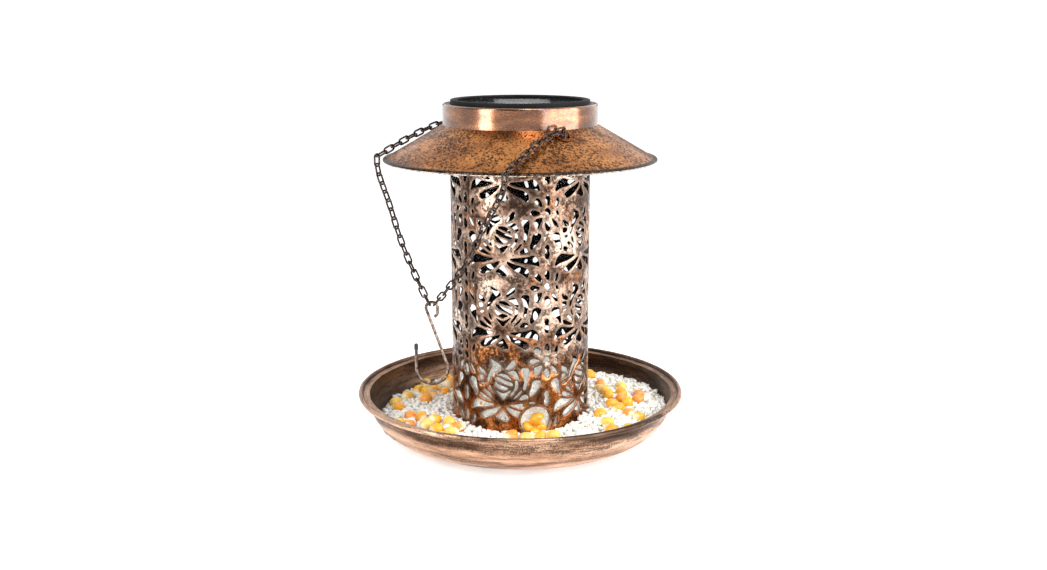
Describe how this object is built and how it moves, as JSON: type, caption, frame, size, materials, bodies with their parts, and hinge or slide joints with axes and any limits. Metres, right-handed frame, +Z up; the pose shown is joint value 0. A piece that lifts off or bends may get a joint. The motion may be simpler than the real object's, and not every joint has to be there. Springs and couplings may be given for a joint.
{
  "type": "hanging bird feeder",
  "caption": "Round seed tray with a pierced copper seed tube, a conical lift-up roof with a solar light in its collar, and a hanging chain with a wire hook.",
  "frame": {"origin": "middle of the plane that the tray's flat base ring stands on", "axes": "+Z up along the tube's axis, -Y towards the front seed port's side, +X to the right seen from the front"},
  "size_m": [0.23, 0.23, 0.237],
  "materials": {
    "tray_copper": "brushed antique copper",
    "lattice_copper": "worn antique copper",
    "roof_copper": "speckled antique copper",
    "dark_bronze": "dark bronze",
    "zinc_steel": "zinc plated",
    "clear_plastic": "clear gloss",
    "frosted_plastic": "frosted",
    "white_seed": "dry grain",
    "black_plastic": "matte",
    "rubber_black": "matte",
    "panel_backing": "matte",
    "solar_cell": "satin",
    "circuit_green": "solder mask",
    "battery_sleeve": "satin"
  },
  "bodies": {
    "feeder": {"seed_tray": "tray_copper", "tray_bolts": "zinc_steel", "tray_washers": "zinc_steel", "tray_nuts": "zinc_steel", "lattice_tube": "lattice_copper", "seed_liner": "clear_plastic", "tube_base_plate": "lattice_copper", "base_rivets": "lattice_copper", "port_grommet_front": "lattice_copper", "port_grommet_rear": "lattice_copper", "chain_anchor_front": "dark_bronze", "chain_anchor_rear": "dark_bronze", "tray_seed_bed": "white_seed", "tube_seed_fill": "white_seed"},
    "roof": {"roof_cone": "roof_copper", "roof_collar": "roof_copper", "roof_seat_ring": "roof_copper", "roof_eyelet_front": "roof_copper", "roof_eyelet_rear": "roof_copper", "chain_tail_front": "dark_bronze", "chain_tail_rear": "dark_bronze"},
    "draped_chain": {"draped_chain_front": "dark_bronze", "draped_chain_rear": "dark_bronze"},
    "hanging_chain": {"hanging_chain_left": "dark_bronze", "hanging_chain_right": "dark_bronze"},
    "hook": {"hanging_hook": "dark_bronze", "hook_tip_cap": "rubber_black"},
    "solar_module": {"module_shoulder": "black_plastic", "module_drum": "black_plastic", "solar_bezel": "black_plastic", "panel_gasket": "rubber_black", "panel_board": "panel_backing", "solar_cells": "solar_cell", "panel_window": "clear_plastic", "circuit_board": "circuit_green", "led_lamp": "frosted_plastic", "led_diffuser": "frosted_plastic", "battery_cell": "battery_sleeve", "battery_clips": "zinc_steel", "battery_cover": "black_plastic", "cover_screws": "zinc_steel"},
    "switch": {"power_switch": "black_plastic"}
  },
  "joints": [
    {"name": "roof_lift", "type": "slide", "parent": "feeder", "child": "roof", "axis": [0, 0, 1], "range_m": [0, 0.06]},
    {"name": "light_lift", "type": "slide", "parent": "roof", "child": "solar_module", "axis": [0, 0, 1], "range_m": [0, 0.04]},
    {"name": "power_switch_slide", "type": "slide", "parent": "solar_module", "child": "switch", "axis": [1, 0, 0], "range_m": [0, 0.003]},
    {"name": "chain_lift", "type": "hinge", "parent": "roof", "child": "draped_chain", "pos_m": [0, 0, 0.2204], "axis": [-0.4695, 0.8829, 0], "range_deg": [0, 80]},
    {"name": "chain_swing", "type": "hinge", "parent": "draped_chain", "child": "hanging_chain", "pos_m": [-0.05354, -0.05135, 0.19828], "axis": [-0.6921, 0.7218, 0], "range_deg": [-3, 75]},
    {"name": "hook_swing", "type": "hinge", "parent": "hanging_chain", "child": "hook", "pos_m": [-0.059, -0.0456, 0.1019], "axis": [0, 1, 0], "range_deg": [-12, 45]}
  ]
}
